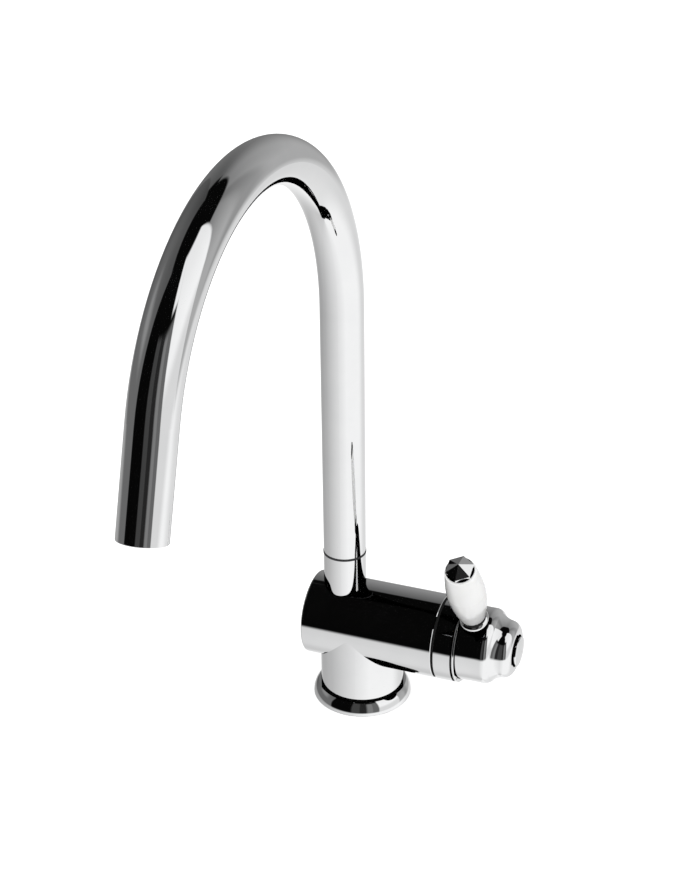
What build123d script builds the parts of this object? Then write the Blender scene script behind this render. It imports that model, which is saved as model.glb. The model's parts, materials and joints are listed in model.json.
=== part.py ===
from build123d import *
import os
from math import asin, atan2, cos, degrees, radians, sin, sqrt

os.makedirs("parts", exist_ok=True)

# Frame: the origin is the centre of the column on the deck. +Z is up, the spout
# reaches forward along -Y, and the handle is at the +X end of the barrel.
# All sizes are in millimetres and all angles in degrees.

# ---------------------------------------------------------------- clearances
slip = 0.05        # a piece pushed or screwed into its seat
running = 0.06     # a shaft that turns in its bore
seal_gap = 0.02    # an O-ring and the wall that it presses on
lay = 0.05         # flat faces that turn on each other

# ------------------------------------------------------- foot, column, barrel
barrel_r = 24.9
column_step = 0.05         # the column is this much slimmer than the barrel
column_h = 25.4            # from the deck to the barrel's lowest line
flange_reach = 3.7         # flat underside beyond the column
flange_bulge = 0.9         # the rim swells this far beyond the underside
flange_bulge_z = 0.9
flange_h = 8.4
flange_margin = 1.6        # flat ledge of the flange round the column
foot_seam = 0.4            # dark line between the flange and the column
foot_seal_inset = 0.4      # the seal ring that shows in it
spigot_step = 3.35         # column foot inside the flange
flange_low_curve = 0.25    # how far the rim's lower arc stays inside the swell
flange_top_curve = (0.6, 3.5)   # inwards and upwards from the swell, on the upper arc
spigot_lift = 1.6          # the foot stops this far above the deck
gasket_offset = 0.15       # middle of the deck seal's groove beyond the column
gasket_w = 3.0
gasket_h = 1.4
barrel_left = 29.7
barrel_right = 51.5
barrel_round = 1.0
seam_chamfer = 0.3

# ------------------------------------------------------------ spout and neck
neck_x = -10.5
tube_r = 12.5
tube_wall = 1.2
neck_h = 20.3              # above the barrel's top line
glide_h = 1.3
glide_proud = 0.2          # the glide ring shows as a dark hairline that stands out a little
glide_bore_gap = 0.1       # round the swivel insert
riser_len = 156.0         # from the neck to the start of the arch
arch_r = 116.8             # swan neck, to the middle of the tube
arch_turn = 162.4
outlet_run = 54.1          # straight stretch down to the mouth
mouth_round = 0.4
swivel_half = 150.0        # the spout swings this far to each side
insert_r = 9.44
insert_len = 18.0          # below the tube's foot
insert_in_tube = 9.0
insert_bore_r = 5.6
oring_section_r = 1.2
oring_inset = 3.4          # each O-ring from its end of the swivel insert
stop_groove_w = 2.9
stop_groove_depth = 1.9
stop_screw_r = 2.0
stop_screw_len = 3.6
stop_tip_r = 1.2           # the screw's slim end runs in the groove
stop_screw_sink = 0.2      # its head below the neck's surface
stop_shoulder_gap = 0.2    # its thick part clear of the swivel insert
stop_socket_depth = 1.4
stop_key = 2.0
filter_tube_r = 3.0
filter_tube_bore_r = 2.0
tube_end_gap = 4.0         # above the foot of its seat
mixing_h = 9.0             # space under the spout where the waters meet
tube_seat_rise = 0.25      # foot of its seat above the middle of its waterway
tube_seal_section_r = 1.0

# ------------------------------------------------------------------- aerator
aerator_len = 12.0
aerator_wall = 1.9
aerator_inset = 0.6
screen_inset = 1.6
screen_h = 5.0
jet_r = 0.95
jet_rings = ((5.2, 9), (7.6, 15))   # radius of the ring, number of jets
aerator_washer_h = 2.0
washer_bore_r = 6.5

# ------------------------------------------------ cover ring, nut, cartridge
seam_barrel = 1.6          # dark gap between the barrel and the cover ring
cover_len = 10.3
cover_edge = 0.12          # chamfer of its left rim
cover_wall = 2.6
spigot_wall = 2.3          # between the cover ring's seat and the nut's thread
nut_shoulder = 2.4         # the thread is this much wider than the cartridge
cover_spigot_len = 7.0
cover_seal_inset = 0.7     # the seal that shows in the dark gap
lining_gap = 0.4           # the cover ring's lining clear of the nut
lining_grip = 0.2          # the lining grows this far into the ring's wall
chamber_floor = 22.0
cartridge_wall = 1.9
port_seal_h = 1.0
port_seal_wall = 0.85
disc_h = 4.0
disc_port_step = 0.2       # the disc's ports are this much slimmer than the waterways
fixed_disc_gap = 0.3       # inside the cartridge
moving_disc_gap = 1.3
carrier_gap = 2.5
carrier_h = 3.9
carrier_end_gap = 0.2      # the carrier clear of the cartridge's end wall
drive_pin_r = 1.5
drive_pin_inset = 1.0
drive_pin_len = 2.0
drive_pin_gap = 0.1        # round each pin
drive_pin_end_gap = 0.2
pocket_inner_r = 4.0
pocket_wall = 4.9          # between the pocket and the disc's edge
pocket_arc = 70.0
pocket_depth = 2.2
cartridge_len = 28.0
cartridge_neck_step = 5.0
cartridge_neck_len = 9.5
nut_thread_len = 7.0
nut_flange_gap = 0.2
nut_hex_share = 1.65       # across flats, as a share of the thread's radius
nut_hex_h = 3.5
nut_neck_grip = 0.5        # the nut's round neck runs this far into its head
stem_r = 5.0
stem_seal_r = 0.9
stem_seal_from_end = 4.0

# ------------------------------------------------------------------ waterways
port_r = 5.0               # threaded inlet for a hose tail
port_len = 12.0
port_circle_r = 8.66
valve_r = 4.3
valve_len = 11.0
valve_bore_r = 2.2
bore_r = 3.0               # drilled waterways
filter_bore_r = 2.5
cold_port = (7.5, -5.0)    # y, z of each port from the barrel's axis
hot_port = (-7.5, -5.0)
filter_in_port = (0.0, -9.0)
mixed_port = (5.0, 7.5)
filter_out_port = (-3.0, 8.0)

# --------------------------------------------------------------------- handle
seam_handle = 1.0          # running gap between the cover ring and the hub
lip_step = 0.1             # the hub's outline, inwards from the barrel's radius
waist_step = 2.1
drum_step = 2.5
shoulder_step = 5.2
step_step = 7.9
lip_w = 1.3
drum_len = 15.6            # from the seam to the hub's first shoulder
shoulder_len = 5.3
step_len = 6.0
nose_len = 5.2
nose_rim = 1.7             # flat rim round the button's hole
lip_round = 0.2
lip_flank = 0.3            # the lip's right side drops to the waist over this length
hub_web_len = 20.0         # solid part round the stem
button_bore_r = 9.7
button_slack = 0.8         # open ring round the button
button_grip_h = 2.6
button_side_len = 10.0     # up to its rounded edge
button_edge_h = 0.5
button_dome_h = 0.9
square_side = 7.0
square_slip = 0.05
square_end_gap = 0.4       # the square stops short of the screw head's seat
screw_r = 2.0
screw_len = 11.0
screw_head_r = 4.2
screw_head_h = 2.8
hex_key = 2.5
screw_socket_depth = 1.8
button_gap = 0.6           # between the screw's head and the button
grub_r = 0.8
grub_x = 2.1               # from the hub's left face
grub_angle = 131.0         # round the barrel from the top, towards the front
grub_sink = 0.3            # its end below the hub's waist
grub_tip_gap = 0.1         # the tip clear of the stem's square

# ---------------------------------------------------------------------- lever
lever_x = 74.5             # where its line crosses the barrel's axis
lever_forward = 29.9       # from vertical towards the front, at rest
pedestal_r = 4.8
pedestal_h = 3.0           # lengths from here on are along the lever, from the hub's drum
collar_r = 8.63
collar_rise = 8.0
collar_edge_h = 1.5        # half the rounded bead
collar_edge_inset = 0.85
washer_h = 3.9             # the dark ring between the bead and the ceramic
washer_r = 7.3
grip_rise = 13.8
grip_base_r = 8.05
grip_swell_len = 26.8
grip_swell_r = 11.15
grip_shoulder_len = 47.2
grip_shoulder_r = 9.1
grip_len = 48.2
grip_top_r = 8.2
grip_bore_r = 2.8
grip_base_round = 0.5      # the ceramic's rounded foot
grip_top_round = 0.3
stud_r = 2.5
stud_start = 10.0
stud_in_cap = 1.6
stud_start_gap = 0.5       # empty thread below the stud
stud_end_gap = 0.3
cap_neck_r = 8.1
cap_neck_h = 0.8
cap_band_h = 1.9
cap_corner_r = 8.18
cap_peak_h = 4.5

# ----------------------------------------------------------- under the deck
deck_h = 20.0              # thickness of the worktop or sink it is fixed to
shank_r = 16.0
shank_bore_r = 13.9
shank_in_body = 12.0
shank_below = 56.0
shank_gasket_h = 3.0
clamp_washer_r = 25.0
clamp_washer_h = 2.5
clamp_nut_hex = 41.0
clamp_nut_h = 8.0

# ---------------------------------------------- worked-out radii and places
column_r = barrel_r - column_step
flange_seat_r = column_r + flange_reach
flange_bulge_r = flange_seat_r + flange_bulge
spigot_r = column_r - spigot_step
gasket_groove_r = column_r + gasket_offset
barrel_z = column_h + barrel_r
neck_top = barrel_z + barrel_r + neck_h
riser_top = neck_top + riser_len
cover_spigot_r = barrel_r - cover_wall
nut_thread_r = cover_spigot_r - spigot_wall
nut_hex = nut_hex_share * nut_thread_r
chamber_r = nut_thread_r - nut_shoulder
cup_r = chamber_r - cartridge_wall
fixed_disc_r = cup_r - fixed_disc_gap
moving_disc_r = cup_r - moving_disc_gap
carrier_r = cup_r - carrier_gap
drive_pin_at = carrier_r - drive_pin_inset
pocket_outer_r = moving_disc_r - pocket_wall
cartridge_neck_r = chamber_r - cartridge_neck_step
lip_r = barrel_r - lip_step
waist_r = barrel_r - waist_step
drum_r = barrel_r - drum_step
shoulder_r = barrel_r - shoulder_step
step_r = barrel_r - step_step
nose_r = button_bore_r + nose_rim
button_r = button_bore_r - button_slack
pedestal_top = drum_r + pedestal_h
collar_at = drum_r + collar_rise
grip_start = drum_r + grip_rise
washer_at = grip_start - washer_h
grip_swell_at = grip_start + grip_swell_len
grip_shoulder_at = grip_start + grip_shoulder_len
grip_end = grip_start + grip_len
cover_left = barrel_right + seam_barrel
cover_right = cover_left + cover_len
hub_left = cover_right + seam_handle
hub_web_end = hub_left + hub_web_len
cover_spigot_end = barrel_right + cover_spigot_len
cartridge_end = chamber_floor + cartridge_len
tube_foot = neck_top + glide_h + lay
insert_bottom = tube_foot - insert_len
mixing_floor = insert_bottom - mixing_h
tube_seat = barrel_z + filter_out_port[1] + tube_seat_rise
tube_end = tube_seat + tube_end_gap
stop_z = (insert_bottom + tube_foot) / 2
insert_slack = insert_r + running
fixed_disc_x = chamber_floor + port_seal_h
moving_disc_x = fixed_disc_x + disc_h + lay
carrier_x = moving_disc_x + disc_h + lay
carrier_end = carrier_x + carrier_h
foot_floor = spigot_lift + shank_in_body
port_top = foot_floor + port_len
valve_top = port_top + valve_len
bottom_align = (Align.CENTER, Align.CENTER, Align.MIN)


# ------------------------------------------------------------------- helpers
def rod(radius, low, high):
    """A cylinder along Z from low to high."""
    return Pos(0, 0, low) * Cylinder(radius, high - low, align=bottom_align)


def ring(outer, inner, low, high):
    """A tube along Z from low to high, with the bore cut right through."""
    return rod(outer, low, high) - rod(inner, low - 1, high + 1)


def turned(edges):
    """The solid that a closed profile sweeps round Z. Its points are (radius, 0, height)."""
    return revolve(make_face(edges), axis=Axis.Z, revolution_arc=360)


def hexagon(across_flats, low, high):
    """A hexagonal prism along Z."""
    corner = across_flats / sqrt(3)
    return Pos(0, 0, low) * extrude(RegularPolygon(corner, 6), high - low)


def on_barrel(shape):
    """Lays a piece made along Z on the barrel's axis, with height as distance along +X."""
    return Pos(0, 0, barrel_z) * Rot(0, 90, 0) * shape


def on_neck(shape):
    """Stands a piece made along Z on the spout's turning axis."""
    return Pos(neck_x, 0, 0) * shape


def drilled_x(radius, port, x_from, x_to):
    """A waterway along X through a port given as (y, z) from the barrel's axis."""
    y, z = port
    return Pos(0, y, z) * on_barrel(rod(radius, x_from, x_to))


def on_lever(shape):
    """Stands a piece made along Z on the barrel's axis, leaning forward as the lever does."""
    return Pos(lever_x, 0, barrel_z) * Rot(lever_forward, 0, 0) * shape


def round_the_arch(radius, z_start, end_inset):
    """A round bar along the spout's centre line, ending end_inset short of the mouth."""
    turn = radians(arch_turn)
    riser = rod(radius, z_start, riser_top)
    section = Pos(0, 0, riser_top) * Circle(radius)
    bend_axis = Axis((0, -arch_r, riser_top), (1, 0, 0))
    bend = revolve(section, axis=bend_axis, revolution_arc=arch_turn)
    bend_end = (0, -arch_r + arch_r * cos(turn), riser_top + arch_r * sin(turn))
    heading = (0, -sin(turn), cos(turn))
    end_plane = Plane(origin=bend_end, x_dir=(1, 0, 0), z_dir=heading)
    leg = end_plane.location * rod(radius, 0, outlet_run - end_inset)
    return on_neck(riser + bend + leg)


def at_mouth(shape):
    """Places a piece made along Z, with Z = 0 on the mouth and +Z up into the spout."""
    turn = radians(arch_turn)
    bend_y = -arch_r + arch_r * cos(turn)
    bend_z = riser_top + arch_r * sin(turn)
    heading = (0, -sin(turn), cos(turn))
    mouth = (neck_x, bend_y + outlet_run * heading[1], bend_z + outlet_run * heading[2])
    inward = (0, -heading[1], -heading[2])
    return Plane(origin=mouth, x_dir=(1, 0, 0), z_dir=inward).location * shape


def inlet_places():
    """The three inlets: filtered to the right, cold behind and hot in front."""
    return [(port_circle_r * cos(radians(a)), port_circle_r * sin(radians(a)))
            for a in (0, 120, 240)]


def port_list():
    return (cold_port, hot_port, filter_in_port, mixed_port, filter_out_port)


# --------------------------------------------------------------- foot and body
def make_base_flange():
    bore = spigot_r + slip
    top_r = column_r + flange_margin
    inwards, upwards = flange_top_curve
    upper_mid = (flange_bulge_r - inwards, 0, flange_bulge_z + upwards)
    profile = [
        Polyline((top_r, 0, flange_h), (bore, 0, flange_h), (bore, 0, 0), (flange_seat_r, 0, 0)),
        ThreePointArc((flange_seat_r, 0, 0),
                      (flange_bulge_r - flange_low_curve, 0, flange_bulge_z * 0.4),
                      (flange_bulge_r, 0, flange_bulge_z)),
        ThreePointArc((flange_bulge_r, 0, flange_bulge_z), upper_mid, (top_r, 0, flange_h)),
    ]
    groove = ring(gasket_groove_r + gasket_w / 2 + slip, gasket_groove_r - gasket_w / 2 - slip,
                  -1, gasket_h + slip)
    return turned(profile) - groove


def make_base_gasket():
    return ring(gasket_groove_r + gasket_w / 2, gasket_groove_r - gasket_w / 2, 0, gasket_h)


def make_column_seal():
    outer = column_r - foot_seal_inset
    return ring(outer, spigot_r + slip, flange_h, flange_h + foot_seam)


def waterways():
    """Everything that is drilled in the body for the three waters."""
    drilled = []
    rises = [filter_in_port, cold_port, hot_port]
    for (x, y), port in zip(inlet_places(), rises):
        drilled.append(Pos(x, y, 0) * rod(port_r, foot_floor - 1, port_top))
        drilled.append(Pos(x, y, 0) * rod(valve_r + slip, port_top - 1, valve_top))
        drilled.append(Pos(x, y, 0) * rod(bore_r, valve_top - 1, barrel_z + port[1]))
        drilled.append(drilled_x(bore_r, (y, port[1]), x, chamber_floor + 1))
    drilled.append(drilled_x(filter_bore_r, filter_out_port, neck_x, chamber_floor + 1))
    drilled.append(slanted_waterway())
    return drilled


def slanted_waterway():
    """Mixed water climbs from its port to the mixing space under the spout."""
    y, z = mixed_port
    start = Vector(chamber_floor + 1, y, barrel_z + z)
    stop = Vector(neck_x, y, mixing_floor + bore_r)
    line = stop - start
    plane = Plane(origin=start, z_dir=line)
    return plane.location * rod(bore_r, 0, line.length)


def make_body():
    column_foot = flange_h + foot_seam
    column = rod(column_r, column_foot, barrel_z) + rod(spigot_r, spigot_lift, column_foot)
    barrel = on_barrel(rod(barrel_r, -barrel_left, barrel_right))
    left_edge = barrel.edges().filter_by(GeomType.CIRCLE).sort_by(Axis.X)[0]
    barrel = fillet(left_edge, barrel_round)
    right_edge = barrel.edges().filter_by(GeomType.CIRCLE).sort_by(Axis.X)[-1]
    barrel = chamfer(right_edge, seam_chamfer)
    neck = on_neck(rod(tube_r, barrel_z, neck_top))
    shell = barrel + neck
    shell += column
    shell += on_barrel(rod(cover_spigot_r, barrel_right - 1, cover_spigot_end))
    shell -= rod(shank_r + slip, spigot_lift - 1, foot_floor)
    shell -= on_barrel(rod(chamber_r, chamber_floor, cover_spigot_end + 1))
    shell -= on_barrel(rod(nut_thread_r, cartridge_end, cover_spigot_end + 1))
    shell -= on_neck(rod(insert_slack, mixing_floor, neck_top + 1))
    shell -= on_neck(rod(filter_tube_r + running, tube_seat, neck_top))
    seal_space = filter_tube_r + seal_gap + 2 * tube_seal_section_r + slip
    shell -= on_neck(rod(seal_space, mixing_floor - 2 * tube_seal_section_r - slip, neck_top))
    shell -= stop_screw_hole()
    for way in waterways():
        shell -= way
    return shell


def stop_screw_hole():
    return on_neck(Pos(0, 0, stop_z) * Rot(-90, 0, 0) * rod(stop_screw_r + slip, 0, tube_r + 1))


def make_spout_retaining_screw():
    head = tube_r - stop_screw_sink
    screw = rod(stop_tip_r, head - stop_screw_len, head)
    screw += rod(stop_screw_r, insert_slack + stop_shoulder_gap, head)
    screw -= hexagon(stop_key, head - stop_socket_depth, tube_r)
    return on_neck(Pos(0, 0, stop_z) * Rot(-90, 0, 0) * screw)


def make_glide_ring():
    return on_neck(ring(tube_r + glide_proud, insert_slack + glide_bore_gap, neck_top, neck_top + glide_h))


def make_tube_seal_ring():
    middle = filter_tube_r + seal_gap + tube_seal_section_r
    return on_neck(Pos(0, 0, mixing_floor - tube_seal_section_r)
                   * Torus(middle, tube_seal_section_r))


def make_inlet_valves():
    valve = ring(valve_r, valve_bore_r, port_top, valve_top - slip)
    return Compound([Pos(x, y, 0) * valve for x, y in inlet_places()])


# ------------------------------------------------------------- under the deck
def make_threaded_shank():
    return ring(shank_r, shank_bore_r, -shank_below, foot_floor - slip)


def make_shank_gasket():
    return ring(clamp_washer_r, shank_r + slip, -deck_h - shank_gasket_h, -deck_h)


def make_clamp_washer():
    top = -deck_h - shank_gasket_h
    return ring(clamp_washer_r, shank_r + slip, top - clamp_washer_h, top)


def make_clamp_nut():
    top = -deck_h - shank_gasket_h - clamp_washer_h
    return hexagon(clamp_nut_hex, top - clamp_nut_h, top) - rod(shank_r + slip, top - 20, top + 1)


# ------------------------------------------------------- cover ring, cartridge
def make_cover_ring():
    sleeve = ring(barrel_r, cover_spigot_r + slip, cover_left, cover_right)
    lining = ring(cover_spigot_r + slip + lining_grip, nut_thread_r + lining_gap,
                  cover_spigot_end, cover_right)
    piece = on_barrel(sleeve + lining)
    rims = piece.edges().filter_by(GeomType.CIRCLE).filter_by(lambda e: e.radius > barrel_r - 0.01)
    return chamfer(rims.sort_by(Axis.X)[0], cover_edge)


def make_cover_ring_seal():
    outer = barrel_r - cover_seal_inset
    return on_barrel(ring(outer, cover_spigot_r + slip, barrel_right, cover_left))


def make_cartridge_nut():
    flange_x = cover_spigot_end + nut_flange_gap
    threaded = rod(nut_thread_r - slip, cartridge_end, cartridge_end + nut_thread_len)
    neck = rod(nut_hex / 2, cartridge_end, flange_x + nut_neck_grip)
    head = hexagon(nut_hex, flange_x, flange_x + nut_hex_h)
    return on_barrel(threaded + neck + head - rod(cartridge_neck_r + slip, 0, cover_right))


def make_cartridge_housing():
    outer = rod(chamber_r - slip, fixed_disc_x, cartridge_end)
    neck = rod(cartridge_neck_r, cartridge_end, cartridge_end + cartridge_neck_len)
    cup = rod(cup_r, fixed_disc_x - 1, carrier_end + carrier_end_gap)
    stem_bore = rod(stem_r + running, carrier_end, cover_right)
    seal_x = cartridge_end - stem_seal_from_end
    seal_groove_r = stem_r + running + 2 * stem_seal_r
    groove = rod(seal_groove_r, seal_x - stem_seal_r - slip, seal_x + stem_seal_r + slip)
    return on_barrel(outer + neck - cup - stem_bore - groove)


def make_cartridge_seals():
    rings = []
    for y, z in port_list():
        seal = ring(bore_r + port_seal_wall, bore_r, chamber_floor, fixed_disc_x)
        rings.append(Pos(0, y, z) * on_barrel(seal))
    return Compound(rings)


def make_fixed_disc():
    disc = on_barrel(rod(fixed_disc_r, fixed_disc_x, fixed_disc_x + disc_h))
    for port in port_list():
        disc -= drilled_x(bore_r - disc_port_step, port, fixed_disc_x - 1, fixed_disc_x + disc_h + 1)
    return disc


def drive_pins(radius, low, high):
    pin = rod(radius, low, high)
    return Pos(0, drive_pin_at, 0) * pin + Pos(0, -drive_pin_at, 0) * pin


def make_moving_disc():
    disc = rod(moving_disc_r, moving_disc_x, moving_disc_x + disc_h)
    wall = pocket_outer_r - pocket_inner_r
    middle = (pocket_outer_r + pocket_inner_r) / 2
    slot = Pos(middle, 0, moving_disc_x) * Rot(90, 0, 0) * Rectangle(wall, 2 * pocket_depth)
    pocket = revolve(slot, axis=Axis.Z, revolution_arc=pocket_arc)
    disc -= Rot(0, 0, 90 - pocket_arc / 2) * pocket
    disc_back = moving_disc_x + disc_h
    disc -= drive_pins(drive_pin_r + drive_pin_gap, disc_back - drive_pin_len - drive_pin_end_gap,
                       disc_back + 1)
    return on_barrel(disc)


def make_cartridge_stem():
    carrier = rod(carrier_r, carrier_x, carrier_end)
    carrier += drive_pins(drive_pin_r, carrier_x - lay - drive_pin_len, carrier_x + 1)
    shaft = rod(stem_r, carrier_end - 1, hub_left)
    square_len = hub_web_end - square_end_gap - hub_left
    square = square_bar(square_side, hub_left, hub_left + square_len)
    tapped = rod(screw_r + slip, hub_web_end - screw_len - 1, hub_web_end + 1)
    return on_barrel(carrier + shaft + square - tapped)


def make_stem_seal():
    seal_x = cartridge_end - stem_seal_from_end
    middle = stem_r + running + stem_seal_r
    return on_barrel(Pos(0, 0, seal_x) * Torus(middle, stem_seal_r - seal_gap))


# --------------------------------------------------------------------- handle
def square_bar(side, low, high):
    """A square bar along Z, turned so that one flat faces the grub screw."""
    bar = Pos(0, 0, low) * Box(side, side, high - low, align=bottom_align)
    return Rot(0, 0, grub_angle - 180) * bar


def hub_outline():
    """The turned outside of the hub, as a solid along Z with Z = 0 on its left face."""
    waist_start = lip_w + lip_flank
    shoulder_end = drum_len + shoulder_len
    step_end = shoulder_end + step_len
    nose_end = step_end + nose_len
    bend = shoulder_len * 0.6
    profile = [
        Polyline((0, 0, nose_end), (0, 0, 0), (lip_r - lip_round, 0, 0)),
        ThreePointArc((lip_r - lip_round, 0, 0), (lip_r, 0, lip_w / 2), (lip_r - lip_round, 0, lip_w)),
        Line((lip_r - lip_round, 0, lip_w), (waist_r, 0, waist_start)),
        ThreePointArc((waist_r, 0, waist_start), (drum_r, 0, drum_len * 0.6),
                      (drum_r, 0, drum_len)),
        ThreePointArc((drum_r, 0, drum_len), (drum_r - 0.7, 0, drum_len + bend),
                      (shoulder_r, 0, shoulder_end)),
        ThreePointArc((shoulder_r, 0, shoulder_end), (step_r + 0.75, 0, shoulder_end + 3.0),
                      (step_r, 0, step_end)),
        ThreePointArc((step_r, 0, step_end), (step_r - 1.5, 0, step_end + nose_len * 0.62),
                      (nose_r, 0, nose_end)),
        Line((nose_r, 0, nose_end), (0, 0, nose_end)),
    ]
    return turned(profile)


def grub_place(shape):
    """Points a piece made along Z out of the hub at the grub screw."""
    return Pos(hub_left + grub_x, 0, barrel_z) * Rot(grub_angle, 0, 0) * shape


def make_handle_hub():
    hub = Pos(0, 0, hub_left) * hub_outline()
    hub -= square_bar(square_side + 2 * square_slip, hub_left - 1, hub_web_end + 1)
    hub -= rod(button_bore_r, hub_web_end, hub_web_end + 30)
    hub = on_barrel(hub)
    hub -= on_lever(rod(stud_r + slip, stud_start - stud_start_gap, grip_start))
    hub -= grub_place(rod(grub_r + slip, 0, lip_r + 2))
    return hub


def make_handle_screw():
    head_end = hub_web_end + screw_head_h
    screw = rod(screw_r, hub_web_end - screw_len, hub_web_end + 1)
    screw += rod(screw_head_r, hub_web_end, head_end)
    screw -= hexagon(hex_key, head_end - screw_socket_depth, head_end + 1)
    return on_barrel(screw)


def make_handle_grub_screw():
    tip = square_side / 2 + grub_tip_gap
    screw = rod(grub_r, tip, waist_r - grub_sink)
    return grub_place(screw)


def make_end_button():
    low = hub_web_end + screw_head_h + button_gap
    side_top = low + button_side_len
    edge_r = button_r - button_edge_h
    edge_z = side_top + button_edge_h
    dome_r = (edge_r ** 2 + button_dome_h ** 2) / (2 * button_dome_h)
    half = asin(edge_r / dome_r) / 2
    peak = edge_z + button_dome_h
    dome_mid = (dome_r * sin(half), 0, peak - dome_r * (1 - cos(half)))
    edge_mid = button_edge_h * (1 - sqrt(0.5))
    profile = [
        Polyline((0, 0, peak), (0, 0, low), (button_bore_r - slip, 0, low),
                 (button_bore_r - slip, 0, low + button_grip_h),
                 (button_r, 0, low + button_grip_h), (button_r, 0, side_top)),
        ThreePointArc((button_r, 0, side_top), (button_r - edge_mid, 0, edge_z - edge_mid),
                      (edge_r, 0, edge_z)),
        ThreePointArc((edge_r, 0, edge_z), dome_mid, (0, 0, peak)),
    ]
    return on_barrel(turned(profile))


# ---------------------------------------------------------------------- lever
def make_lever_collar():
    low, high = collar_at - collar_edge_h, collar_at + collar_edge_h
    edge_r = collar_r - collar_edge_inset
    swell = edge_r - pedestal_r
    profile = [
        Polyline((edge_r, 0, high), (washer_r - 0.2, 0, washer_at), (0, 0, washer_at),
                 (0, 0, stud_start), (pedestal_r, 0, stud_start), (pedestal_r, 0, pedestal_top)),
        ThreePointArc((pedestal_r, 0, pedestal_top),
                      (pedestal_r + swell * 0.22, 0, pedestal_top + (low - pedestal_top) * 0.6),
                      (edge_r, 0, low)),
        ThreePointArc((edge_r, 0, low), (collar_r, 0, collar_at), (edge_r, 0, high)),
    ]
    collar = on_lever(turned(profile))
    collar -= on_barrel(Pos(0, 0, hub_left) * hub_outline())
    collar -= on_lever(rod(stud_r + slip, 0, grip_start + 1))
    return collar


def make_grip_washer():
    return on_lever(ring(washer_r, stud_r + slip, washer_at, grip_start))


def make_lever_stud():
    return on_lever(rod(stud_r, stud_start, grip_end + cap_neck_h + stud_in_cap - stud_end_gap))


def make_lever_grip():
    lower_mid_at = grip_start + (grip_swell_at - grip_start) * 0.49
    lower_mid_r = grip_base_r + (grip_swell_r - grip_base_r) * 0.75
    upper_mid_at = (grip_swell_at + grip_shoulder_at) / 2
    upper_mid_r = grip_swell_r - (grip_swell_r - grip_shoulder_r) * 0.38
    foot_r = grip_base_r - grip_base_round
    foot_at = grip_start + grip_base_round
    foot_bend = grip_base_round * sqrt(0.5)
    profile = [
        Polyline((grip_top_r, 0, grip_end), (0, 0, grip_end), (0, 0, grip_start),
                 (foot_r, 0, grip_start)),
        ThreePointArc((foot_r, 0, grip_start), (foot_r + foot_bend, 0, foot_at - foot_bend),
                      (grip_base_r, 0, foot_at)),
        ThreePointArc((grip_base_r, 0, foot_at), (lower_mid_r, 0, lower_mid_at),
                      (grip_swell_r, 0, grip_swell_at)),
        ThreePointArc((grip_swell_r, 0, grip_swell_at), (upper_mid_r, 0, upper_mid_at),
                      (grip_shoulder_r, 0, grip_shoulder_at)),
        ThreePointArc((grip_shoulder_r, 0, grip_shoulder_at),
                      (grip_shoulder_r - grip_top_round, 0, grip_end - grip_top_round),
                      (grip_top_r, 0, grip_end)),
    ]
    return on_lever(turned(profile) - rod(grip_bore_r, grip_start - 1, grip_end + 1))


def make_lever_cap():
    band_low = grip_end + cap_neck_h
    band_top = band_low + cap_band_h
    cap = rod(cap_neck_r, grip_end, band_low)
    outline = RegularPolygon(cap_corner_r, 6, rotation=30)
    cap += Pos(0, 0, band_low) * extrude(outline, cap_band_h)
    corners = outline.vertices()
    base = [Vector(v.X, v.Y, band_top) for v in corners]
    peak = Vector(0, 0, band_top + cap_peak_h)
    order = sorted(base, key=lambda p: atan2(p.Y, p.X))
    sides = [Face(Wire.make_polygon([a, b, peak])) for a, b in zip(order, order[1:] + order[:1])]
    floor = Face(Wire.make_polygon(order))
    cap += Solid(Shell(sides + [floor]))
    cap -= rod(stud_r + slip, grip_end - 1, band_low + stud_in_cap)
    return on_lever(cap)


# ---------------------------------------------------------------------- spout
def make_spout_tube():
    tube = round_the_arch(tube_r, tube_foot, 0) - round_the_arch(tube_r - tube_wall, tube_foot - 1, -1)
    mouth_rim = tube.edges().filter_by(GeomType.CIRCLE).filter_by(
        lambda e: e.radius > tube_r - 0.01).sort_by(Axis.Y)[0]
    return fillet(mouth_rim, mouth_round)


def oring_heights():
    return (insert_bottom + oring_inset, tube_foot - oring_inset)


def make_swivel_insert():
    insert = rod(insert_r, insert_bottom, tube_foot)
    insert += rod(tube_r - tube_wall - slip, tube_foot, tube_foot + insert_in_tube)
    insert -= rod(insert_bore_r, insert_bottom - 1, tube_foot + insert_in_tube + 1)
    groove_r = insert_slack - seal_gap - 2 * oring_section_r
    for z in oring_heights():
        half = oring_section_r + slip
        insert -= ring(insert_r + 1, groove_r, z - half, z + half)
    tip_angle = degrees(atan2(stop_tip_r + slip, insert_r - stop_groove_depth))
    section = Pos(insert_r, 0, stop_z) * Rot(90, 0, 0) * Rectangle(
        2 * stop_groove_depth, stop_groove_w)
    sweep_angle = 2 * (swivel_half + tip_angle)
    groove = revolve(section, axis=Axis.Z, revolution_arc=sweep_angle)
    insert -= Rot(0, 0, 90 - sweep_angle / 2) * groove
    return on_neck(insert)


def make_swivel_orings():
    middle = insert_slack - seal_gap - oring_section_r
    return Compound([on_neck(Pos(0, 0, z) * Torus(middle, oring_section_r))
                     for z in oring_heights()])


def make_filtered_water_tube():
    end_inset = aerator_inset + screen_inset
    outside = round_the_arch(filter_tube_r, tube_end, end_inset)
    return outside - round_the_arch(filter_tube_bore_r, tube_end - 1, end_inset - 1)


def make_aerator_housing():
    outer = tube_r - tube_wall - slip
    return at_mouth(ring(outer, outer - aerator_wall, aerator_inset, aerator_inset + aerator_len))


def screen_r():
    return tube_r - tube_wall - slip - aerator_wall - slip


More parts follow.
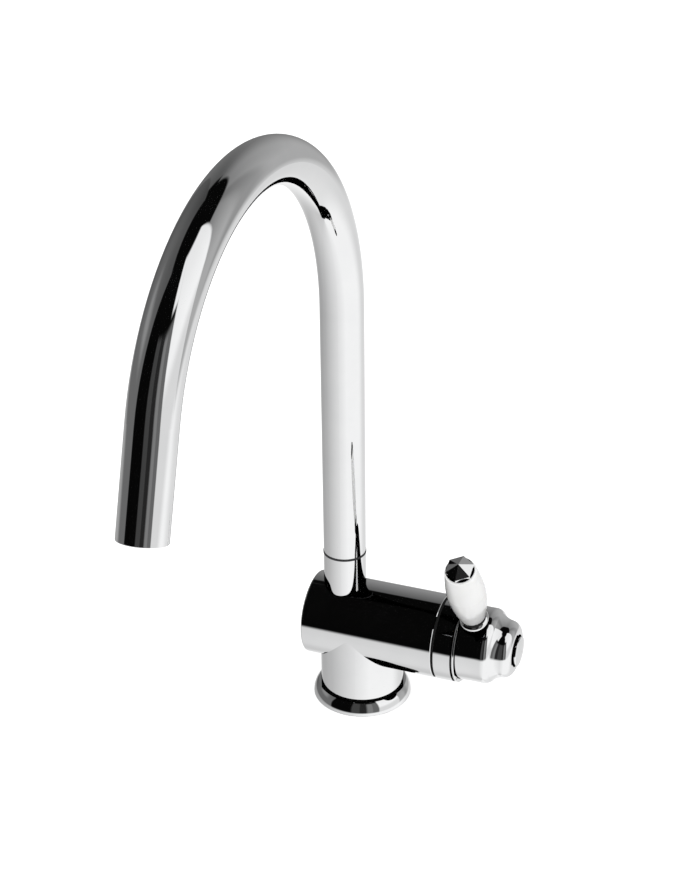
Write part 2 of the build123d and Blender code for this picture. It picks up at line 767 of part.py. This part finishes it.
def make_aerator_insert():
    low = aerator_inset + screen_inset
    screen = rod(screen_r(), low, low + screen_h)
    screen -= rod(filter_tube_r + slip, low - 1, low + screen_h + 1)
    for circle_r, count in jet_rings:
        for i in range(count):
            angle = radians(360 * i / count)
            jet = rod(jet_r, low - 1, low + screen_h + 1)
            screen -= Pos(circle_r * cos(angle), circle_r * sin(angle), 0) * jet
    return at_mouth(screen)


def make_aerator_washer():
    low = aerator_inset + screen_inset + screen_h
    return at_mouth(ring(screen_r(), washer_bore_r, low, low + aerator_washer_h))


makers = {
    "base_flange": make_base_flange,
    "base_gasket": make_base_gasket,
    "column_seal": make_column_seal,
    "body": make_body,
    "glide_ring": make_glide_ring,
    "spout_retaining_screw": make_spout_retaining_screw,
    "tube_seal_ring": make_tube_seal_ring,
    "inlet_valves": make_inlet_valves,
    "threaded_shank": make_threaded_shank,
    "shank_gasket": make_shank_gasket,
    "clamp_washer": make_clamp_washer,
    "clamp_nut": make_clamp_nut,
    "cover_ring": make_cover_ring,
    "cover_ring_seal": make_cover_ring_seal,
    "cartridge_nut": make_cartridge_nut,
    "cartridge_housing": make_cartridge_housing,
    "cartridge_seals": make_cartridge_seals,
    "fixed_disc": make_fixed_disc,
    "moving_disc": make_moving_disc,
    "cartridge_stem": make_cartridge_stem,
    "stem_seal": make_stem_seal,
    "handle_hub": make_handle_hub,
    "handle_screw": make_handle_screw,
    "handle_grub_screw": make_handle_grub_screw,
    "end_button": make_end_button,
    "lever_collar": make_lever_collar,
    "grip_washer": make_grip_washer,
    "lever_stud": make_lever_stud,
    "lever_grip": make_lever_grip,
    "lever_cap": make_lever_cap,
    "spout_tube": make_spout_tube,
    "swivel_insert": make_swivel_insert,
    "swivel_orings": make_swivel_orings,
    "filtered_water_tube": make_filtered_water_tube,
    "aerator_housing": make_aerator_housing,
    "aerator_insert": make_aerator_insert,
    "aerator_washer": make_aerator_washer,
}

for node, maker in makers.items():
    export_step(maker(), f"parts/{node}.step")
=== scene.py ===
import json
from math import cos, radians, sin

import bpy
from mathutils import Matrix, Vector

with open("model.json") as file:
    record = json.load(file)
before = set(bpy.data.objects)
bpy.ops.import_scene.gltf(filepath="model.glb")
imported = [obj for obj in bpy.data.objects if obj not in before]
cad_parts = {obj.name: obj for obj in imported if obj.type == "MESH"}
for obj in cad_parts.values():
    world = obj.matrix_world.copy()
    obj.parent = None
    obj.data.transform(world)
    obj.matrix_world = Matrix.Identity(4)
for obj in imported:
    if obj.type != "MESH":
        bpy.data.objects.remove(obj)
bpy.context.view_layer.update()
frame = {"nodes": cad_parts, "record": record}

# ------------------------------------------------------------------- camera
MM = 0.001
CAMERA_PLACE = (352.8, -904.7, 669.9)    # in mm
CAMERA_AZIMUTH = 21.66
CAMERA_ELEVATION = 27.04
CAMERA_ROLL = -0.60
LENS = 79.5
SENSOR_WIDTH = 36.0


def make_camera():
    data = bpy.data.cameras.new("camera")
    camera = bpy.data.objects.new("camera", data)
    bpy.context.scene.collection.objects.link(camera)
    bpy.context.scene.camera = camera
    azimuth, elevation, roll = (radians(v) for v in (CAMERA_AZIMUTH, CAMERA_ELEVATION, CAMERA_ROLL))
    back = Vector((sin(azimuth) * cos(elevation), -cos(azimuth) * cos(elevation), sin(elevation)))
    right = (-back).cross(Vector((0, 0, 1))).normalized()
    up = right.cross(-back)
    side = cos(roll) * right + sin(roll) * up
    top = -sin(roll) * right + cos(roll) * up
    turn = Matrix((side, top, back)).transposed().to_4x4()
    camera.matrix_world = Matrix.Translation(Vector(CAMERA_PLACE) * MM) @ turn
    data.sensor_width = SENSOR_WIDTH
    data.lens = LENS
    data.clip_start, data.clip_end = 0.05, 50.0


# ----------------------------------------------------------------- materials
class Nodes:
    """Short names for building a node tree."""

    def __init__(self, tree):
        self.tree = tree
        tree.nodes.clear()

    def add(self, kind, **settings):
        node = self.tree.nodes.new(kind)
        for key, value in settings.items():
            setattr(node, key, value)
        return node

    def put(self, source, target):
        self.tree.links.new(source, target)

    def value(self, socket, value):
        """Links a socket, or sets it where the value is a plain number or colour."""
        if isinstance(value, bpy.types.NodeSocket):
            self.put(value, socket)
        else:
            socket.default_value = value

    def math(self, operation, a, b=0.0):
        node = self.add("ShaderNodeMath", operation=operation)
        for socket, v in zip(node.inputs, (a, b)):
            self.value(socket, v)
        return node.outputs[0]

    def times(self, a, b):
        return self.math("MULTIPLY", a, b)

    def plus(self, a, b):
        return self.math("ADD", a, b)

    def ramp(self, value, low, high, to_low=0.0, to_high=1.0, smooth=True):
        node = self.add("ShaderNodeMapRange",
                        interpolation_type="SMOOTHSTEP" if smooth else "LINEAR")
        for name, v in (("Value", value), ("From Min", low), ("From Max", high),
                        ("To Min", to_low), ("To Max", to_high)):
            self.value(node.inputs[name], v)
        return node.outputs["Result"]

    def noise(self, vector, scale, detail, roughness):
        node = self.add("ShaderNodeTexNoise")
        self.put(vector, node.inputs["Vector"])
        node.inputs["Scale"].default_value = scale
        node.inputs["Detail"].default_value = detail
        node.inputs["Roughness"].default_value = roughness
        return node.outputs["Fac"]

    def stretched(self, vector, scale):
        node = self.add("ShaderNodeMapping")
        self.put(vector, node.inputs["Vector"])
        node.inputs["Scale"].default_value = scale
        return node.outputs["Vector"]

    def blend(self, factor, a, b):
        node = self.add("ShaderNodeMix", data_type="RGBA")
        self.value(node.inputs["Factor"], factor)
        self.value(node.inputs["A"], a)
        self.value(node.inputs["B"], b)
        return node.outputs["Result"]

    def bump(self, height, strength, distance):
        node = self.add("ShaderNodeBump")
        self.put(height, node.inputs["Height"])
        node.inputs["Strength"].default_value = strength
        node.inputs["Distance"].default_value = distance
        return node.outputs["Normal"]


def new_material(name):
    material = bpy.data.materials.new(name)
    material.use_nodes = True
    n = Nodes(material.node_tree)
    shader = n.add("ShaderNodeBsdfPrincipled")
    out = n.add("ShaderNodeOutputMaterial")
    n.put(shader.outputs[0], out.inputs["Surface"])
    where = n.add("ShaderNodeTexCoord").outputs["Object"]
    return material, n, shader, where


def colour(r, g, b):
    return (r, g, b, 1.0)


def make_chrome():
    """Polished plate, with a faint haze, wiping marks and a slight ripple."""
    material, n, shader, where = new_material("chrome")
    haze = n.noise(where, scale=45, detail=3, roughness=0.55)
    wipe = n.noise(n.stretched(where, (900, 900, 90)), scale=1.0, detail=2, roughness=0.6)
    tint = n.ramp(haze, 0.3, 0.7)
    n.put(n.blend(tint, colour(0.920, 0.924, 0.930), colour(0.945, 0.948, 0.952)),
          shader.inputs["Base Color"])
    shader.inputs["Metallic"].default_value = 1.0
    rough = n.plus(n.ramp(haze, 0.35, 0.75, 0.018, 0.045),
                   n.ramp(wipe, 0.55, 0.85, 0.0, 0.02))
    n.put(rough, shader.inputs["Roughness"])
    ripple = n.noise(where, scale=160, detail=1, roughness=0.4)
    n.put(n.bump(ripple, strength=0.02, distance=0.0002), shader.inputs["Normal"])
    return material


def make_glaze():
    """White ceramic under a clear glaze, with soft clouds and a few specks."""
    material, n, shader, where = new_material("glazed_grip")
    cloud = n.noise(where, scale=70, detail=3, roughness=0.5)
    speck = n.noise(where, scale=900, detail=1, roughness=0.5)
    white = n.blend(n.ramp(cloud, 0.3, 0.7),
                    colour(0.925, 0.925, 0.915), colour(0.955, 0.955, 0.95))
    n.put(n.blend(n.ramp(speck, 0.76, 0.82, 0.0, 0.35), white, colour(0.78, 0.77, 0.74)),
          shader.inputs["Base Color"])
    shader.inputs["Subsurface Weight"].default_value = 0.15
    shader.inputs["Subsurface Radius"].default_value = (0.002, 0.002, 0.0018)
    shader.inputs["Subsurface Scale"].default_value = 0.5
    n.put(n.ramp(cloud, 0.3, 0.7, 0.16, 0.24), shader.inputs["Roughness"])
    shader.inputs["Coat Weight"].default_value = 1.0
    shader.inputs["Coat Roughness"].default_value = 0.03
    wave = n.noise(where, scale=120, detail=1, roughness=0.4)
    for socket in ("Normal", "Coat Normal"):
        n.put(n.bump(wave, strength=0.05, distance=0.0003), shader.inputs[socket])
    return material


def make_turned_metal(name, low, high, rough, lines, axis):
    """A lathe-turned or brushed metal: fine lines round an axis, with tone and roughness."""
    material, n, shader, where = new_material(name)
    tone = n.noise(where, scale=60, detail=3, roughness=0.55)
    scale = [40.0, 40.0, 40.0]
    scale[axis] = lines
    fine = n.noise(n.stretched(where, tuple(scale)), scale=1.0, detail=3, roughness=0.6)
    n.put(n.blend(n.ramp(tone, 0.3, 0.7), low, high), shader.inputs["Base Color"])
    shader.inputs["Metallic"].default_value = 1.0
    n.put(n.ramp(fine, 0.3, 0.7, rough * 0.7, rough * 1.4), shader.inputs["Roughness"])
    n.put(n.bump(fine, strength=0.12, distance=0.0001), shader.inputs["Normal"])
    return material


def make_moulded(name, low, high, rough, grain, bump=0.15, coat=0.0, gloss=0.5):
    """Moulded plastic, rubber or fired ceramic: fine grain with a soft change of tone."""
    material, n, shader, where = new_material(name)
    tone = n.noise(where, scale=50, detail=3, roughness=0.5)
    fine = n.noise(where, scale=grain, detail=3, roughness=0.6)
    n.put(n.blend(n.ramp(tone, 0.3, 0.7), low, high), shader.inputs["Base Color"])
    shader.inputs["Coat Weight"].default_value = coat
    shader.inputs["Specular IOR Level"].default_value = gloss
    n.put(n.ramp(fine, 0.3, 0.7, rough * 0.85, rough * 1.15), shader.inputs["Roughness"])
    n.put(n.bump(fine, strength=bump, distance=0.0001), shader.inputs["Normal"])
    return material


def make_finishes():
    """One finish for each of the record's material slots."""
    return {
        "chrome": make_chrome(),
        "glazed_grip": make_glaze(),
        "brass": make_turned_metal(
            "brass", colour(0.66, 0.50, 0.23), colour(0.76, 0.60, 0.31),
            rough=0.24, lines=2500, axis=2),
        "steel": make_turned_metal(
            "steel", colour(0.56, 0.56, 0.57), colour(0.66, 0.66, 0.67),
            rough=0.28, lines=2500, axis=2),
        "black_steel": make_turned_metal(
            "black_steel", colour(0.035, 0.035, 0.04), colour(0.07, 0.07, 0.075),
            rough=0.38, lines=1500, axis=0),
        "rubber": make_moulded(
            "rubber", colour(0.008, 0.008, 0.008), colour(0.016, 0.016, 0.016),
            rough=0.62, grain=1800, gloss=0.12),
        "black_plastic": make_moulded(
            "black_plastic", colour(0.02, 0.02, 0.022), colour(0.035, 0.035, 0.038),
            rough=0.42, grain=1500, gloss=0.2),
        "white_plastic": make_moulded(
            "white_plastic", colour(0.80, 0.80, 0.77), colour(0.88, 0.88, 0.85),
            rough=0.42, grain=1200),
        "grey_plastic": make_moulded(
            "grey_plastic", colour(0.48, 0.49, 0.51), colour(0.58, 0.59, 0.61),
            rough=0.42, grain=1200),
        "tube_plastic": make_moulded(
            "tube_plastic", colour(0.84, 0.85, 0.87), colour(0.90, 0.91, 0.92),
            rough=0.32, grain=900),
        "disc_ceramic": make_moulded(
            "disc_ceramic", colour(0.88, 0.88, 0.85), colour(0.94, 0.94, 0.91),
            rough=0.12, grain=2500, bump=0.04, coat=0.4),
    }


def give_finishes():
    finishes = make_finishes()
    for part in frame["record"]["subparts"]:
        node = frame["nodes"][part["node"]]
        for place in node.material_slots:
            place.material = finishes[part["material_slot"]]


# --------------------------------------------------------------- floor, world
FLOOR_HALF = 6.0
FLOOR_TONE = 0.80
FLOOR_GLOW = 0.55         # only for the camera, so that the floor is white to it


def make_floor():
    """A white floor that keeps the tap's shadow and can be looked through from below."""
    h = FLOOR_HALF
    mesh = bpy.data.meshes.new("floor")
    mesh.from_pydata([(-h, -h, 0), (h, -h, 0), (h, h, 0), (-h, h, 0)], [], [(0, 1, 2, 3)])
    floor = bpy.data.objects.new("floor", mesh)
    bpy.context.scene.collection.objects.link(floor)
    material = bpy.data.materials.new("floor")
    material.use_nodes = True
    n = Nodes(material.node_tree)
    diffuse = n.add("ShaderNodeBsdfDiffuse")
    diffuse.inputs["Color"].default_value = colour(FLOOR_TONE, FLOOR_TONE, FLOOR_TONE)
    glow = n.add("ShaderNodeEmission")
    path = n.add("ShaderNodeLightPath")
    n.put(n.times(path.outputs["Is Camera Ray"], FLOOR_GLOW), glow.inputs["Strength"])
    both = n.add("ShaderNodeAddShader")
    n.put(diffuse.outputs[0], both.inputs[0])
    n.put(glow.outputs[0], both.inputs[1])
    clear = n.add("ShaderNodeBsdfTransparent")
    pick = n.add("ShaderNodeMixShader")
    n.put(n.add("ShaderNodeNewGeometry").outputs["Backfacing"], pick.inputs[0])
    n.put(both.outputs[0], pick.inputs[1])
    n.put(clear.outputs[0], pick.inputs[2])
    out = n.add("ShaderNodeOutputMaterial")
    n.put(pick.outputs[0], out.inputs["Surface"])
    mesh.materials.append(material)
    floor.visible_glossy = False


DEGREES = 57.2958         # in one radian
TABLE_TONE = 0.945
TABLE_EDGE = (-22.0, -13.0)       # heights over which the table gives way to the walls
WALL_FOOT = -40           # the panels reach down behind the table's edge
DARK_TONE = 0.002         # walls and ceiling away from the panels


def make_world():
    """A white room for the camera. Gloss sees a studio: pale table, softboxes, dark ceiling.

    Directions and heights are in degrees, and tones are between 0 and 1.
    """
    world = bpy.data.worlds.new("studio")
    bpy.context.scene.world = world
    world.use_nodes = True
    n = Nodes(world.node_tree)
    axes = n.add("ShaderNodeSeparateXYZ")
    n.put(n.add("ShaderNodeTexCoord").outputs["Generated"], axes.inputs[0])
    x, y, z = axes.outputs
    height = n.times(n.math("ARCSINE", z), DEGREES)
    # 0 in front of the tap, 90 to its right, -90 to its left, 180 behind it
    around = n.times(n.math("ARCTAN2", x, n.times(y, -1.0)), DEGREES)
    # the same from 0 to 360, so that the rear wall has no break in it
    behind = n.plus(around, n.times(n.math("LESS_THAN", around, 0.0), 360.0))

    def span(value, low, high, soft):
        """1 between two values and 0 outside them, with soft edges."""
        return n.times(n.ramp(value, low - soft, low + soft),
                       n.ramp(value, high - soft, high + soft, 1.0, 0.0))

    def panel(turn, left, right, low, high, tone, soft=2.5):
        """A softly edged panel between two directions round the tap and two heights."""
        return n.times(n.times(span(turn, left, right, soft), span(height, low, high, soft)), tone)

    # the table is brightest to the right, and greyest to the left near the horizon
    left_shade = n.plus(n.ramp(around, 40.0, -75.0, 0.0, 0.49, smooth=False),
                        n.ramp(around, -75.0, -110.0, 0.0, 0.06))
    left_shade = n.times(left_shade, n.ramp(around, -168.0, -120.0))
    rear_shade = n.times(n.ramp(behind, 108.0, 150.0, 0.0, 0.24),
                         n.ramp(behind, 165.0, 196.0, 1.0, 0.1))
    shade = n.times(n.plus(left_shade, rear_shade),
                    n.ramp(height, -66.0, -22.0, 0.6, 1.0, smooth=False))
    table = n.math("SUBTRACT", TABLE_TONE, shade)
    rise = n.ramp(n.math("ABSOLUTE", around), 60.0, 120.0, 0.0, 3.0)
    edge = n.ramp(n.math("SUBTRACT", height, rise), *TABLE_EDGE)

    key_tone = n.times(n.ramp(height, 15.0, 65.0, 0.94, 0.85),
                       n.ramp(height, 2.0, 18.0, 0.76, 1.0))
    left_tone = n.times(n.ramp(height, 60.0, 10.0, 0.085, 0.14),
                        n.ramp(around, -136.0, -100.0, 0.62, 1.0))
    left_spot = n.times(span(around, -97.0, -70.0, 8.0),
                        n.times(span(height, 11.0, 28.0, 7.0), 0.12))
    left_tone = n.plus(left_tone, left_spot)
    rear_tone = n.times(n.ramp(height, 56.0, 6.0, 0.22, 0.41, smooth=False),
                        n.ramp(behind, 172.0, 216.0, 1.0, 0.36))
    rear_dip = n.times(span(behind, 133, 147, 5.0), 0.27)
    rear_tone = n.times(rear_tone, n.math("SUBTRACT", 1.0, rear_dip))
    foot = WALL_FOOT
    panels = [
        # the bright softbox to the right, and its upper part that reaches further forward
        panel(around, 58, 113, foot, 75, key_tone),
        panel(around, 42, 60, 47, 75, key_tone),
        # the rear wall
        panel(behind, 108, 205, foot, 56, rear_tone, 1.8),
        panel(behind, 203, 226, foot, 51, rear_tone, 1.8),
        # the left wall
        panel(around, -136, -53, foot, 61.5, left_tone, 1.8),
        # four dim strips in front
        panel(around, -4, 15, foot, 43, 0.05),
        panel(around, 14, 32, foot, 43, 0.017),
        panel(around, 31, 46, foot, 40, 0.20, 4.0),
        panel(around, 44, 58, foot, 41, 0.13),
    ]
    wall = panels[0]
    for other in panels[1:]:
        wall = n.math("MAXIMUM", wall, other)
    wall = n.plus(wall, DARK_TONE)
    tone = n.plus(n.times(table, n.math("SUBTRACT", 1.0, edge)), n.times(wall, edge))
    path = n.add("ShaderNodeLightPath")
    # in the photograph, chrome that is seen in chrome stays black
    first = n.math("LESS_THAN", path.outputs["Glossy Depth"], 1.5)
    tone = n.times(tone, first)
    direct = n.math("MAXIMUM", path.outputs["Is Camera Ray"], path.outputs["Is Transmission Ray"])
    gloss = path.outputs["Is Glossy Ray"]
    soft_light = n.ramp(z, -1.0, 1.0, 0.56, 0.92)
    seen = n.plus(n.times(gloss, tone), n.times(n.math("SUBTRACT", 1.0, gloss), soft_light))
    strength = n.plus(direct, n.times(n.math("SUBTRACT", 1.0, direct), seen))
    background = n.add("ShaderNodeBackground")
    background.inputs["Color"].default_value = colour(1.0, 1.0, 1.0)
    n.put(strength, background.inputs["Strength"])
    out = n.add("ShaderNodeOutputWorld")
    n.put(background.outputs[0], out.inputs["Surface"])


LIGHT_TARGET = (0, 0, 0.12)       # in metres, about the barrel


def area_light(name, place, side, power):
    """A square lamp that faces the tap and isn't seen in its chrome."""
    data = bpy.data.lights.new(name, "AREA")
    data.shape = "RECTANGLE"
    data.size = data.size_y = side
    data.energy = power
    lamp = bpy.data.objects.new(name, data)
    bpy.context.scene.collection.objects.link(lamp)
    lamp.location = place
    lamp.rotation_mode = "QUATERNION"
    lamp.rotation_quaternion = (Vector(LIGHT_TARGET) - Vector(place)).to_track_quat("-Z", "Y")
    lamp.visible_glossy = False


make_camera()
give_finishes()
make_floor()
make_world()
area_light("key", place=(1.1, -0.9, 1.5), side=0.9, power=9.0)
area_light("fill", place=(-1.2, -0.6, 1.1), side=1.0, power=2.5)
bpy.context.scene.view_settings.view_transform = "Standard"
